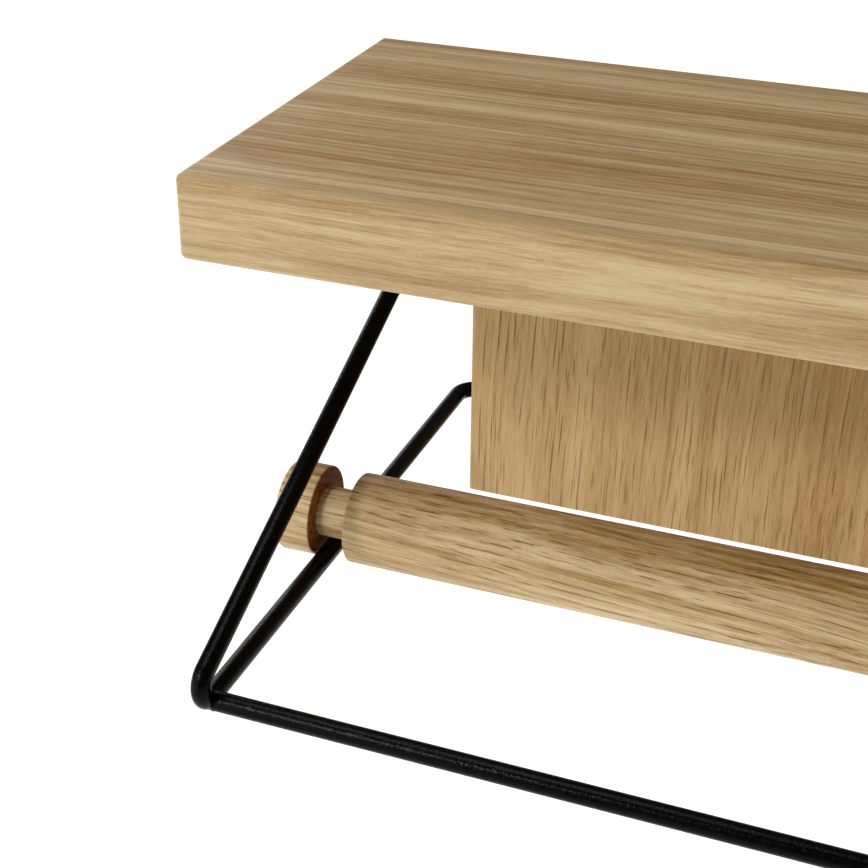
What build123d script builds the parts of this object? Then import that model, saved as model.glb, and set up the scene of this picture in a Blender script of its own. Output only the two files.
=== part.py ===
"""Wall shelf of solid oak with a black wire frame that carries a turned oak hanging rod.

Frame of the model: X along the shelf, +Y towards the wall, +Z up, millimetres.
The origin is the centre of the back panel's rear face, which lies on the wall at Y = 0.
"""
import os
from math import asin, atan2, hypot, pi, tan

from build123d import *

# ---- driving dimensions -----------------------------------------------------------------
SHELF_LENGTH = 350.0      # along X
SHELF_DEPTH = 127.0       # from the wall to the front edge
BOARD_THICKNESS = 22.0    # shelf and back panel are cut from the same planed oak
SHELF_ROUNDING = 1.8      # front, end and long edges of the shelf
PANEL_ROUNDING = 0.9      # edges of the back panel

PANEL_HEIGHT = 114.0      # below the shelf
PANEL_INSET = 38.5        # from the shelf's end to the panel's end

WIRE_D = 5.0              # round steel wire of the whole frame
FRAME_INSET = 30.0        # from the shelf's end to the plane of each side of the frame
FRAME_REACH = 185.0       # from the wall to the foremost point of the frame
FRAME_BAR_LEVEL = -30.0   # height of the level lower wires
FRAME_BACK_Y = -4.5       # axis of the two rear bars, sunk in the back panel
CORNER_RADIUS = 6.25      # centre line, where a wire turns behind the panel
HAIRPIN_RADIUS = 4.7      # centre line of the tight front bend
WIRE_GAP = 0.1            # between the top rear bar and the shelf's underside
GROOVE_PLAY = 0.2         # all round the rear bars, in the panel's rebate and groove
BAR_SETBACK = 1.4         # from the centre of the tight bend forwards to the front bar
BAR_END_GAP = 0.05        # between the bar's end and the wire that it is welded to
SEAM = 1.0                # length of the ground weld that closes the loop
SEAM_RAISE = 0.08         # how far it stands proud of the wire

WELD_ROOT = 1.5           # how far the front bar's weld reaches back beside the wire
WELD_TOE = 2.0            # and forwards along the bar
WELD_HEIGHT = 0.75        # crown of the bead above the bar

ROD_D = 24.5              # barrel and knobs of the hanging rod
NECK_D = 13.7
NECK_LENGTH = 9.85
KNOB_LENGTH = 10.0
KNOB_SIDE_PLAY = 0.5      # between a knob's inner face and the wire
ROD_Y = -104.7            # where the rod lies along the level wires
ROD_SEAT_GAP = 0.1        # running clearance between neck and wire
KNOB_ROUNDING = 1.0       # outer rim of each knob
RIM_ROUNDING = 0.4        # inner rims of the knobs and both rims of the barrel

DOWEL_D = 8.0
DOWEL_LENGTH = 30.0
DOWEL_CHAMFER = 1.0
DOWEL_X = (-105.0, -35.0, 35.0, 105.0)
DOWEL_HOLE_PLAY = 0.05    # on the radius
DOWEL_HOLE_SPARE = 1.0    # depth beyond each end of the dowel

PLATE_T = 2.0             # steel plates let in flush with the panel's rear face
PLATE_ROUNDING = 3.0      # their corners
PLATE_PLAY = 0.15         # all round a plate in its recess
HANGER_X = 105.0          # two hanger plates, left and right of the middle
HANGER_W = 30.0
HANGER_H = 54.0
HANGER_DROP = 0.2         # from the panel's top to the plate
HANGER_SCREWS = (16.0, 6.0)   # heights above the plate's lower end
KEYHOLE_R = 4.5           # entry hole for the head of a wall screw
KEYHOLE_SLOT_W = 4.6
KEYHOLE_RISE = 10.0       # from the entry hole's centre to the slot's end
KEYHOLE_Z = 32.0          # centre of the entry hole
KEYHOLE_POCKET = 9.0      # depth of the relief behind the keyhole
KEYHOLE_RELIEF = 0.5      # the relief is this much wider all round
SADDLE_X = 72.0           # two plates that hold the lower rear bar
SADDLE_W = 16.0
SADDLE_H = 36.0
SADDLE_SCREW = 12.0       # above and below the bar
SCREW_LENGTH = 13.0
SCREW_D = 3.0
SCREW_HEAD_D = 5.6
SCREW_HEAD_H = 1.6
SCREW_TIP = 2.5           # length of the point
SCREW_TIP_R = 0.2
SCREW_SINK = 0.08         # how far the head lies below the wall plane
SCREW_HOLE_PLAY = 0.1     # on the radius, in the plates
PILOT_PLAY = 0.05         # on the radius, in the wood
PILOT_SPARE = 1.0         # depth beyond the point
RECESS_ARM = 2.7          # cross recess in the head
RECESS_WIDTH = 0.7
RECESS_DEPTH = 1.1

# ---- worked out from the driving dimensions ---------------------------------------------
WIRE_R = WIRE_D / 2
PANEL_TOP = PANEL_HEIGHT / 2
PANEL_WIDTH = SHELF_LENGTH - 2 * PANEL_INSET
SIDE_X = SHELF_LENGTH / 2 - FRAME_INSET
TOP_BAR_Z = PANEL_TOP - WIRE_GAP - WIRE_R
BEND_Y = -FRAME_REACH + HAIRPIN_RADIUS + WIRE_R
BEND_Z = FRAME_BAR_LEVEL + HAIRPIN_RADIUS
ROD_Z = FRAME_BAR_LEVEL + WIRE_R + ROD_SEAT_GAP + NECK_D / 2


def frame_corner_y():
    """Y where the straight runs of a side's two wires would cross in front of the bend."""
    back, rise = FRAME_BACK_Y - BEND_Y, TOP_BAR_Z - BEND_Z
    slope = atan2(rise, back) - asin(HAIRPIN_RADIUS / hypot(back, rise))
    return FRAME_BACK_Y - (TOP_BAR_Z - FRAME_BAR_LEVEL) / tan(slope)


def box(x, y, z):
    """A box between the given (low, high) pairs."""
    return Pos((x[0] + x[1]) / 2, (y[0] + y[1]) / 2, (z[0] + z[1]) / 2) * Box(
        x[1] - x[0], y[1] - y[0], z[1] - z[0])


def cylinder(radius, start, length, axis):
    """A cylinder that runs for length from start, along axis X, Y or Z."""
    turn = {"X": Rot(0, 90, 0), "Y": Rot(-90, 0, 0), "Z": Rot(0, 0, 0)}[axis]
    return Pos(*start) * turn * Cylinder(
        radius, length, align=(Align.CENTER, Align.CENTER, Align.MIN))


# ---- wooden boards ------------------------------------------------------------------------
def dowel_y():
    """Middle of the wood that is left in front of the rebate for the top rear bar."""
    return -(BOARD_THICKNESS + rear_depth()) / 2


def rear_depth():
    """Depth of the grooves that take the rear bars."""
    return -FRAME_BACK_Y + WIRE_R + GROOVE_PLAY


def dowel_holes():
    depth = DOWEL_LENGTH / 2 + DOWEL_HOLE_SPARE
    return [cylinder(DOWEL_D / 2 + DOWEL_HOLE_PLAY, (x, dowel_y(), PANEL_TOP - depth), 2 * depth, "Z")
            for x in DOWEL_X]


def make_shelf_board():
    half = SHELF_LENGTH / 2
    board = box((-half, half), (-SHELF_DEPTH, 0), (PANEL_TOP, PANEL_TOP + BOARD_THICKNESS))
    rear = board.faces().sort_by(Axis.Y)[-1].edges()
    board = fillet([e for e in board.edges() if e not in rear], SHELF_ROUNDING)
    return board - dowel_holes()


def flat_plate(width, height, z, play=0.0):
    """A plate with rounded corners, from the wall plane inwards, centred at height z."""
    outline = RectangleRounded(width + 2 * play, height + 2 * play, PLATE_ROUNDING + play)
    return Pos(0, 0, z) * extrude(Plane.XZ * outline, PLATE_T)


def hanger_z():
    return PANEL_TOP - HANGER_DROP - HANGER_H / 2


def keyhole(depth, radius, slot_width):
    """Entry hole and slot above it, cut from the wall plane to the given depth."""
    hole = cylinder(radius, (0, -depth, KEYHOLE_Z), depth, "Y")
    top = KEYHOLE_Z + KEYHOLE_RISE
    slot = box((-slot_width / 2, slot_width / 2), (-depth, 0), (KEYHOLE_Z, top))
    return hole + slot + cylinder(slot_width / 2, (0, -depth, top), depth, "Y")


def hanger_screw_spots():
    """The two fixings of one hanger plate, one above the other under its keyhole."""
    low = hanger_z() - HANGER_H / 2
    return [(0.0, low + rise) for rise in HANGER_SCREWS]


def saddle_screw_spots():
    return [(0.0, FRAME_BAR_LEVEL + SADDLE_SCREW), (0.0, FRAME_BAR_LEVEL - SADDLE_SCREW)]


def make_back_panel():
    half, bottom = PANEL_WIDTH / 2, -PANEL_HEIGHT / 2
    panel = box((-half, half), (-BOARD_THICKNESS, 0), (bottom, PANEL_TOP))
    top, rear = panel.faces().sort_by(Axis.Z)[-1], panel.faces().sort_by(Axis.Y)[-1]
    kept = top.edges() + rear.edges()
    panel = fillet([e for e in panel.edges() if e not in kept], PANEL_ROUNDING)
    room = WIRE_R + GROOVE_PLAY
    rebate = box((-half, half), (-rear_depth(), 0), (TOP_BAR_Z - room, PANEL_TOP))
    groove = box((-half, half), (FRAME_BACK_Y, 0), (FRAME_BAR_LEVEL - room, FRAME_BAR_LEVEL + room))
    groove += cylinder(room, (-half, FRAME_BACK_Y, FRAME_BAR_LEVEL), PANEL_WIDTH, "X")
    relief = KEYHOLE_R + KEYHOLE_RELIEF
    cuts = [rebate, groove] + dowel_holes()
    for side in (-1, 1):
        at_hanger, at_saddle = Pos(side * HANGER_X, 0, 0), Pos(side * SADDLE_X, 0, 0)
        cuts.append(at_hanger * flat_plate(HANGER_W, HANGER_H, hanger_z(), PLATE_PLAY))
        cuts.append(at_hanger * keyhole(KEYHOLE_POCKET, relief, 2 * relief))
        cuts.append(at_saddle * flat_plate(SADDLE_W, SADDLE_H, FRAME_BAR_LEVEL, PLATE_PLAY))
        cuts += [at_hanger * screw_pilot(x, z) for x, z in hanger_screw_spots()]
        cuts += [at_saddle * screw_pilot(x, z) for x, z in saddle_screw_spots()]
    return panel - cuts


def make_dowels():
    dowel = cylinder(DOWEL_D / 2, (0, 0, -DOWEL_LENGTH / 2), DOWEL_LENGTH, "Z")
    dowel = chamfer(dowel.edges().filter_by(GeomType.CIRCLE), DOWEL_CHAMFER)
    return Compound(children=[Pos(x, dowel_y(), PANEL_TOP) * dowel for x in DOWEL_X])


# ---- wire frame ---------------------------------------------------------------------------
def make_wire_loop():
    """One wire: across the back, down to each hairpin, and back along the lower level."""
    x, y, seam = SIDE_X, frame_corner_y(), SEAM / 2
    points = [(-seam, FRAME_BACK_Y, TOP_BAR_Z), (-x, FRAME_BACK_Y, TOP_BAR_Z),
              (-x, y, FRAME_BAR_LEVEL), (-x, FRAME_BACK_Y, FRAME_BAR_LEVEL),
              (x, FRAME_BACK_Y, FRAME_BAR_LEVEL), (x, y, FRAME_BAR_LEVEL),
              (x, FRAME_BACK_Y, TOP_BAR_Z), (seam, FRAME_BACK_Y, TOP_BAR_Z)]
    radii = [CORNER_RADIUS, HAIRPIN_RADIUS, CORNER_RADIUS] * 2
    path = FilletPolyline(*points, radius=radii)
    section = (path ^ 0) * Circle(WIRE_R)
    loop = sweep(section, path=path)
    expected = path.length * pi * WIRE_R ** 2
    print(f"wire loop: {path.length:.1f} mm, volume {loop.volume:.0f} of {expected:.0f} mm3")
    return loop


def make_loop_butt_weld():
    """The ground weld that closes the loop, in the middle of the top rear bar."""
    return cylinder(WIRE_R + SEAM_RAISE, (-SEAM / 2, FRAME_BACK_Y, TOP_BAR_Z), SEAM, "X")


def bar_axis():
    """The front bar lies level with the lower wires, at the start of the hairpin's bend."""
    return BEND_Y - BAR_SETBACK, FRAME_BAR_LEVEL


def make_front_bar():
    y, z = bar_axis()
    half = SIDE_X - WIRE_R - BAR_END_GAP
    return cylinder(WIRE_R, (-half, y, z), 2 * half, "X")


def make_bar_weld(loop, bar, side):
    """A fillet weld round the end of the front bar, where it butts against the hairpin."""
    y, z = bar_axis()
    root, toe, crown = WELD_ROOT, WELD_TOE, WIRE_R + WELD_HEIGHT
    with BuildPart() as bead:
        with BuildSketch(Plane.XY):
            with BuildLine():
                Polyline((-root, 0), (-root, crown - 0.35), (-0.2 * root, crown),
                         (0.4 * toe, crown - 0.15), (toe, WIRE_R), (toe, 0), (-root, 0))
            make_face()
        revolve(axis=Axis.X)
    weld = Pos(SIDE_X - WIRE_R, y, z) * Rot(0, 180, 0) * bead.part
    if side < 0:
        weld = mirror(weld, about=Plane.YZ)
    weld = weld - [loop, bar]
    solids = weld.solids().sort_by(SortBy.VOLUME)
    return solids[-1]


# ---- hanging rod --------------------------------------------------------------------------
def make_hanging_rod():
    """One turned piece: knob, neck, barrel, neck, knob."""
    inner = SIDE_X + WIRE_R + KNOB_SIDE_PLAY
    shoulder, end = inner - NECK_LENGTH, inner + KNOB_LENGTH
    big, small = ROD_D / 2, NECK_D / 2
    with BuildPart() as rod:
        with BuildSketch(Plane.XY):
            with BuildLine():
                Polyline((-end, 0), (-end, big), (-inner, big), (-inner, small),
                         (-shoulder, small), (-shoulder, big), (shoulder, big),
                         (shoulder, small), (inner, small), (inner, big), (end, big),
                         (end, 0), (-end, 0))
            make_face()
        revolve(axis=Axis.X)
    solid = rod.part
    rims = solid.edges().filter_by(GeomType.CIRCLE).filter_by(
        lambda e: abs(e.radius - big) < 0.01).sort_by(Axis.X)
    solid = fillet([rims[0], rims[-1]], KNOB_ROUNDING)
    rims = solid.edges().filter_by(GeomType.CIRCLE).filter_by(
        lambda e: abs(e.radius - big) < 0.01 and abs(e.center().X) < inner + 0.01)
    solid = fillet(rims, RIM_ROUNDING)
    return Pos(0, ROD_Y, ROD_Z) * solid


# ---- steel fittings -------------------------------------------------------------------------
def screw_pilot(x, z):
    depth = SCREW_LENGTH + PILOT_SPARE
    return cylinder(SCREW_D / 2 + PILOT_PLAY, (x, -depth, z), depth, "Y")


def countersink(x, z):
    """Through hole with a conical seat that opens at the wall plane."""
    narrow, wide = SCREW_D / 2 + SCREW_HOLE_PLAY, SCREW_HEAD_D / 2 + SCREW_HOLE_PLAY
    hole = cylinder(narrow, (x, -PLATE_T, z), PLATE_T, "Y")
    seat = Cone(narrow, wide, SCREW_HEAD_H, align=(Align.CENTER, Align.CENTER, Align.MIN))
    return hole + Pos(x, -SCREW_HEAD_H, z) * Rot(-90, 0, 0) * seat


def make_hanger_plate(side):
    plate = flat_plate(HANGER_W, HANGER_H, hanger_z())
    cuts = [keyhole(PLATE_T, KEYHOLE_R, KEYHOLE_SLOT_W)]
    cuts += [countersink(x, z) for x, z in hanger_screw_spots()]
    return Pos(side * HANGER_X, 0, 0) * (plate - cuts)


def make_bar_saddle(side):
    plate = flat_plate(SADDLE_W, SADDLE_H, FRAME_BAR_LEVEL)
    cuts = [countersink(x, z) for x, z in saddle_screw_spots()]
    return Pos(side * SADDLE_X, 0, 0) * (plate - cuts)


def make_screw():
    """Countersunk wood screw with a cross recess, its head flush with the wall plane."""
    upright = (Align.CENTER, Align.CENTER, Align.MIN)
    tip_y = -SCREW_LENGTH + SCREW_TIP
    shank = cylinder(SCREW_D / 2, (0, tip_y, 0), -SCREW_HEAD_H - tip_y, "Y")
    tip = Cone(SCREW_D / 2, SCREW_TIP_R, SCREW_TIP, align=upright)
    tip = Pos(0, tip_y, 0) * Rot(90, 0, 0) * tip
    head = Cone(SCREW_D / 2, SCREW_HEAD_D / 2, SCREW_HEAD_H - SCREW_SINK, align=upright)
    head = Pos(0, -SCREW_HEAD_H, 0) * Rot(-90, 0, 0) * head
    long, short = RECESS_ARM / 2, RECESS_WIDTH / 2
    recess = box((-long, long), (-RECESS_DEPTH, 0), (-short, short))
    recess += box((-short, short), (-RECESS_DEPTH, 0), (-long, long))
    return (shank + tip + head) - recess


def make_screws(plate_x, spots):
    screw = make_screw()
    return Compound(children=[Pos(side * plate_x + x, 0, z) * screw
                              for side in (-1, 1) for x, z in spots])


def main():
    os.makedirs("parts", exist_ok=True)
    loop, bar = make_wire_loop(), make_front_bar()
    nodes = {
        "shelf_board": make_shelf_board(),
        "back_panel": make_back_panel(),
        "panel_dowels": make_dowels(),
        "wire_loop": loop,
        "loop_butt_weld": make_loop_butt_weld(),
        "front_bar": bar,
        "bar_weld_left": make_bar_weld(loop, bar, -1),
        "bar_weld_right": make_bar_weld(loop, bar, 1),
        "hanging_rod": make_hanging_rod(),
        "hanger_plate_left": make_hanger_plate(-1),
        "hanger_plate_right": make_hanger_plate(1),
        "hanger_plate_screws": make_screws(HANGER_X, hanger_screw_spots()),
        "bar_saddle_left": make_bar_saddle(-1),
        "bar_saddle_right": make_bar_saddle(1),
        "bar_saddle_screws": make_screws(SADDLE_X, saddle_screw_spots()),
    }
    for name, shape in nodes.items():
        export_step(shape, f"parts/{name}.step")


main()
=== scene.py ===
# %% Load the fixed frame
import math

import bmesh
import bpy
import numpy as np
from mathutils import Matrix, Vector


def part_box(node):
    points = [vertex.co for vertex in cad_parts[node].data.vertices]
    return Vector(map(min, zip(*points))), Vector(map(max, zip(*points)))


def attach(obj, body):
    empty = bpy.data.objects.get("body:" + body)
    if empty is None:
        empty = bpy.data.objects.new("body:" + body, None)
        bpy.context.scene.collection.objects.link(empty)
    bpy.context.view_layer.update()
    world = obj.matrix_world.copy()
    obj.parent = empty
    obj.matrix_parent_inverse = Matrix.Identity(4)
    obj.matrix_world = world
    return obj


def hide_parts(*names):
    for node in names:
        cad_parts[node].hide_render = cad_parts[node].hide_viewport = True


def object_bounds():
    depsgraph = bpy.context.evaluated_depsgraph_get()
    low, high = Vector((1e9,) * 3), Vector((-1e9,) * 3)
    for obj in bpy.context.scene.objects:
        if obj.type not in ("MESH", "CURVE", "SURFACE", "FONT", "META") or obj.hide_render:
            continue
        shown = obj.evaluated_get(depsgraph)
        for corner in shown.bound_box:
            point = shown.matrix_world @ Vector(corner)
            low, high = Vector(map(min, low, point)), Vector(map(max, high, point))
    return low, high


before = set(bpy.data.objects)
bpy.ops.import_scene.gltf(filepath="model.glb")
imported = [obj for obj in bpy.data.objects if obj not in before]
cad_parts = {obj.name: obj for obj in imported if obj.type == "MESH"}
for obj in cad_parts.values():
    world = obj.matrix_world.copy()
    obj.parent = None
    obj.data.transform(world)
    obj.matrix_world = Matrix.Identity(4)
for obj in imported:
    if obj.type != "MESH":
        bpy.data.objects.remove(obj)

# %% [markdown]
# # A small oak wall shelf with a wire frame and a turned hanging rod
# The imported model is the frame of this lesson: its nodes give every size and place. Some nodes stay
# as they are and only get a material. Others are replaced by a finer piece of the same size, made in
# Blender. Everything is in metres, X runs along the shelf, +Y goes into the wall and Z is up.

cad_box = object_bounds()
MM = 0.001
SHELF_BODY, ROD_BODY = "shelf", "rod"
low, high = cad_box
print("packed model, mm:", [round((b - a) / MM, 1) for a, b in zip(low, high)])

# %% [markdown]
# ## Camera
# The shelf is seen from its front right and from above, close to its left end. The camera stands about
# half a metre away. A lens is described by its focal length on a 36 mm wide sensor, and the lens here
# is a short portrait lens, which keeps the shelf's long edges from spreading too much. A camera looks
# along its own -Z, so its three axes make the columns of its rotation.

# %% Camera
CAMERA_PLACE = Vector((18.45, -459.1, 217.01)) * MM
CAMERA_AZIMUTH, CAMERA_ELEVATION, CAMERA_ROLL = 20.908, 28.705, 0.407
LENS = 69.967

azimuth, elevation = math.radians(CAMERA_AZIMUTH), math.radians(CAMERA_ELEVATION)
forward = Vector((-math.sin(azimuth) * math.cos(elevation),
                  math.cos(azimuth) * math.cos(elevation), -math.sin(elevation)))
camera = bpy.data.objects.new("camera", bpy.data.cameras.new("camera"))
bpy.context.scene.collection.objects.link(camera)
camera.data.lens = LENS
camera.data.sensor_width = 36.0
camera.data.clip_start = 0.01
camera.location = CAMERA_PLACE
camera.rotation_mode = "QUATERNION"
camera.rotation_quaternion = (forward.to_track_quat("-Z", "Y")
                              @ Matrix.Rotation(math.radians(CAMERA_ROLL), 4, "Z").to_quaternion())
bpy.context.scene.camera = camera
print("camera looks along", [round(v, 3) for v in forward])

# %% [markdown]
# ## Colours and nodes
# Colours are chosen as sRGB hex values, as a paint chart or an image editor gives them, and shaders
# want linear values, so one function turns the first into the second. One more function adds any node
# to any tree, with its settings and what goes into its sockets. Both material trees and Geometry Nodes
# trees are built with it.

# %% Colour and node helpers
def linear(hex_colour):
    """The linear RGBA of an sRGB hex value such as '#c8ae82'."""
    values = [int(hex_colour[i:i + 2], 16) / 255 for i in (1, 3, 5)]
    return [v / 12.92 if v <= 0.04045 else ((v + 0.055) / 1.055) ** 2.4 for v in values] + [1.0]


def add(tree, kind, inputs=None, **settings):
    """Adds a node to a tree. inputs maps a socket's name or number to a value or another socket."""
    node = tree.nodes.new(kind)
    for name, value in settings.items():
        setattr(node, name, value)
    for key, value in (inputs or {}).items():
        if isinstance(value, bpy.types.NodeSocket):
            tree.links.new(value, node.inputs[key])
        else:
            node.inputs[key].default_value = value
    return node


def new_material(name):
    """An empty material with its output and its Principled shader."""
    material = bpy.data.materials.new(name)
    material.use_nodes = True
    tree = material.node_tree
    tree.nodes.clear()
    shader = add(tree, "ShaderNodeBsdfPrincipled")
    add(tree, "ShaderNodeOutputMaterial", {"Surface": shader.outputs[0]})
    return material, tree, shader


print("mid oak is", [round(v, 3) for v in linear("#b79b6c")[:3]])

# %% [markdown]
# ## Floor and light
# A plain pale floor lies far below, because the shelf hangs on a wall. The light is a soft studio light.
# A wide softbox low in front and to the left makes the front edge brighter than the top and reaches
# in under the shelf. A weaker one hangs above, and one low behind on the left greys the left end of
# the top with its reflection. A small accent light draws the highlight along the front bar. The white
# floor shines back up and fills the shadows, and the dim surrounding keeps the black frame black.
# Colours are shown with the Standard view, so that a hex value in a material stays close to what the
# eye sees.

# %% Floor and light
FLOOR_Z, FLOOR_REACH = -0.8, 12.0
floor_mesh = bpy.data.meshes.new("floor")
floor_mesh.from_pydata([(x * FLOOR_REACH, y * FLOOR_REACH, FLOOR_Z)
                        for x, y in ((-1, -1), (1, -1), (1, 1), (-1, 1))], [], [(0, 1, 2, 3)])
floor = bpy.data.objects.new("floor", floor_mesh)
bpy.context.scene.collection.objects.link(floor)
floor_material, tree, shader = new_material("floor_white_paper")
shader.inputs["Base Color"].default_value = linear("#e8e8e8")
shader.inputs["Roughness"].default_value = 0.9
shader.inputs["Specular IOR Level"].default_value = 0.0
shader.inputs["Emission Color"].default_value = (1.0, 1.0, 1.0, 1.0)
shader.inputs["Emission Strength"].default_value = 0.9
floor_mesh.materials.append(floor_material)

world = bpy.data.worlds.new("studio")
world.use_nodes = True
world.node_tree.nodes["Background"].inputs["Color"].default_value = (1.0, 1.0, 1.0, 1.0)
world.node_tree.nodes["Background"].inputs["Strength"].default_value = 0.2
bpy.context.scene.world = world
bpy.context.scene.view_settings.view_transform = "Standard"


def softbox(name, place, target, size, power):
    """A square area light at place that faces target, size metres wide and of power watts."""
    light = bpy.data.objects.new(name, bpy.data.lights.new(name, "AREA"))
    light.data.size = size
    light.data.energy = power
    light.location = place
    light.rotation_mode = "QUATERNION"
    light.rotation_quaternion = (Vector(target) - Vector(place)).to_track_quat("-Z", "Y")
    bpy.context.scene.collection.objects.link(light)
    return light


softbox("key_softbox", (-0.76, -0.82, 0.3), (-0.08, -0.08, 0.0), 1.1, 5.3)
softbox("top_softbox", (-0.4, -0.1, 1.1), (-0.1, -0.05, 0.05), 0.6, 4.8)
softbox("rear_softbox", (-1.0, 0.8, 0.38), (-0.1, -0.05, 0.05), 0.6, 3.2)
softbox("accent_light", (-0.55, -1.0, 0.72), (-0.08, -0.15, 0.0), 0.16, 4.6)

# %% [markdown]
# ## Oak
# The boards and the rod are solid white oak with a matt oil. Oak is ring-porous: each year the tree
# lays down a row of wide vessels and then dense wood. A saw or a lathe cuts the vessels open along
# their length, and they show as dark hairlines, crowded where a ring starts, with the rings as bands.
#
# Grain could be a picture laid on every face, but it would break off at the edges. So the pattern is
# built as solid wood: every face, flat or turned, then shows what a tool would lay open, and end
# grain shows dots and arcs. It starts with coordinates in mm whose first axis runs along the grain
# and whose origin lies on the pith, the tree's middle. Grain is never quite straight, so a slow noise
# lets it wander from side to side.

# %% The grain's own space
WANDER_ALONG, WANDER_ACROSS = 80.0, 30.0
WANDER_REACH = 4.5


def grain_space(tree, place, turn, pith):
    """Coordinates in mm with X along the wandering grain and the pith at the origin."""
    straight = add(tree, "ShaderNodeMapping", {
        "Vector": place, "Location": [-v for v in pith], "Rotation": turn,
        "Scale": (1 / MM, 1 / MM, 1 / MM)}).outputs[0]
    slow = add(tree, "ShaderNodeVectorMath", {
        0: straight, 1: (1 / WANDER_ALONG, 1 / WANDER_ACROSS, 1 / WANDER_ACROSS)},
        operation="MULTIPLY").outputs[0]
    slow = add(tree, "ShaderNodeTexNoise", {
        "Vector": slow, "Scale": 1.0, "Detail": 1.0}).outputs["Color"]
    return add(tree, "ShaderNodeVectorMath", {
        0: slow, 1: (0.0, WANDER_REACH, WANDER_REACH), 2: straight},
        operation="MULTIPLY_ADD").outputs[0]


print("grain wanders within", WANDER_REACH, "mm over some", WANDER_ALONG, "mm")

# %% [markdown]
# ## Layers of noise
# Wood varies at every scale: broad bands of good and bad years, streaks, fibres and specks. Each is
# the same noise, stretched along the grain to its own size. One more layer wavers the rings.

# %% Layers of noise
# size along and across the grain in mm, and detail
GRAIN_LAYERS = {"waver": (40.0, 5.0, 2.0), "band": (320.0, 8.0, 1.0), "streak": (210.0, 1.7, 2.0),
                "fibre": (9.0, 0.35, 2.0), "speck": (1.3, 0.4, 2.0)}


def grain_layers(tree, grain):
    """The noise of every layer, by the layer's name."""
    layers = {}
    for layer, (along, across, detail) in GRAIN_LAYERS.items():
        size = add(tree, "ShaderNodeVectorMath", {0: grain, 1: (1 / along, 1 / across, 1 / across)},
                   operation="MULTIPLY").outputs[0]
        layers[layer] = add(tree, "ShaderNodeTexNoise", {
            "Vector": size, "Scale": 1.0, "Detail": detail}).outputs["Fac"]
    return layers


print("layers:", ", ".join(GRAIN_LAYERS))

# %% [markdown]
# ## Year rings
# A spot's distance from the pith, divided by the width of a ring, counts its years. The whole part
# is the year and gives it a random growth. The rest is the season: early wood first, then late wood.

# %% Year rings
RING_WAVER = 1.5


def year_rings(tree, grain, waver, ring):
    """The distance from the pith in mm, how much a spot is early and late wood, and its year's growth."""
    across = add(tree, "ShaderNodeVectorMath", {0: grain, 1: (0.0, 1.0, 1.0)},
                 operation="MULTIPLY").outputs[0]
    radius = add(tree, "ShaderNodeVectorMath", {0: across}, operation="LENGTH").outputs["Value"]
    radius = add(tree, "ShaderNodeMath", {0: waver, 1: RING_WAVER, 2: radius},
                 operation="MULTIPLY_ADD").outputs[0]
    years = add(tree, "ShaderNodeMath", {0: radius, 1: ring}, operation="DIVIDE").outputs[0]
    season = add(tree, "ShaderNodeMath", {0: years}, operation="FRACT").outputs[0]
    year = add(tree, "ShaderNodeMath", {0: years}, operation="FLOOR").outputs[0]
    growth = add(tree, "ShaderNodeTexWhiteNoise", {"W": year}, noise_dimensions="1D").outputs["Value"]
    early = add(tree, "ShaderNodeMapRange", {
        "Value": season, "From Min": 0.1, "From Max": 0.6, "To Min": 1.0, "To Max": 0.0},
        interpolation_type="SMOOTHSTEP").outputs[0]
    late = add(tree, "ShaderNodeMapRange", {
        "Value": season, "From Min": 0.5, "From Max": 0.97, "To Min": 0.0, "To Max": 1.0},
        interpolation_type="SMOOTHSTEP").outputs[0]
    return radius, early, late, growth


print("rings waver by up to", RING_WAVER, "mm")

# %% [markdown]
# ## Vessels
# A Voronoi pattern stretched along the grain holds one spindle in each cell, which looks like a vessel
# that the tool cut open. The wide ones fill the early wood and the fine ones lie everywhere. Some are
# plugged and pale, and the fibres that cross them break them up.

# %% Vessels
FINE_VESSEL_SPACING, FINE_VESSEL_SHOW = 0.6, 0.65


def open_vessels(tree, grain, fibre, early, length, spacing):
    """How hollow each spot is, from 0 to 1. length and spacing are those of the wide vessels in mm."""
    broken = add(tree, "ShaderNodeMapRange", {
        "Value": fibre, "From Min": 0.34, "From Max": 0.48, "To Min": 0.4, "To Max": 1.0}).outputs[0]
    spindles = []
    # length, spacing, and girth in late and in early wood as a share of the cell
    for along, across, least, most in ((length, spacing, 0.22, 0.5),
                                       (0.5 * length, FINE_VESSEL_SPACING, 0.2, 0.36)):
        cell = add(tree, "ShaderNodeVectorMath", {0: grain, 1: (1 / along, 1 / across, 1 / across)},
                   operation="MULTIPLY").outputs[0]
        cell = add(tree, "ShaderNodeTexVoronoi", {"Vector": cell, "Scale": 1.0})
        girth = add(tree, "ShaderNodeMapRange", {
            "Value": early, "To Min": least, "To Max": most}).outputs[0]
        core = add(tree, "ShaderNodeMath", {0: girth, 1: 0.6}, operation="MULTIPLY").outputs[0]
        spindle = add(tree, "ShaderNodeMapRange", {
            "Value": cell.outputs["Distance"], "From Min": girth, "From Max": core},
            interpolation_type="SMOOTHSTEP").outputs[0]
        plug = add(tree, "ShaderNodeSeparateColor", {0: cell.outputs["Color"]}).outputs[0]
        plug = add(tree, "ShaderNodeMapRange", {"Value": plug, "To Min": 0.45, "To Max": 1.0}).outputs[0]
        plug = add(tree, "ShaderNodeMath", {0: plug, 1: broken}, operation="MULTIPLY").outputs[0]
        spindles.append(add(tree, "ShaderNodeMath", {0: spindle, 1: plug}, operation="MULTIPLY").outputs[0])
    wide, fine = spindles
    fine = add(tree, "ShaderNodeMath", {0: fine, 1: FINE_VESSEL_SHOW}, operation="MULTIPLY").outputs[0]
    return add(tree, "ShaderNodeMath", {0: wide, 1: fine}, operation="MAXIMUM").outputs[0]


print("fine vessels lie", FINE_VESSEL_SPACING, "mm apart")

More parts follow.
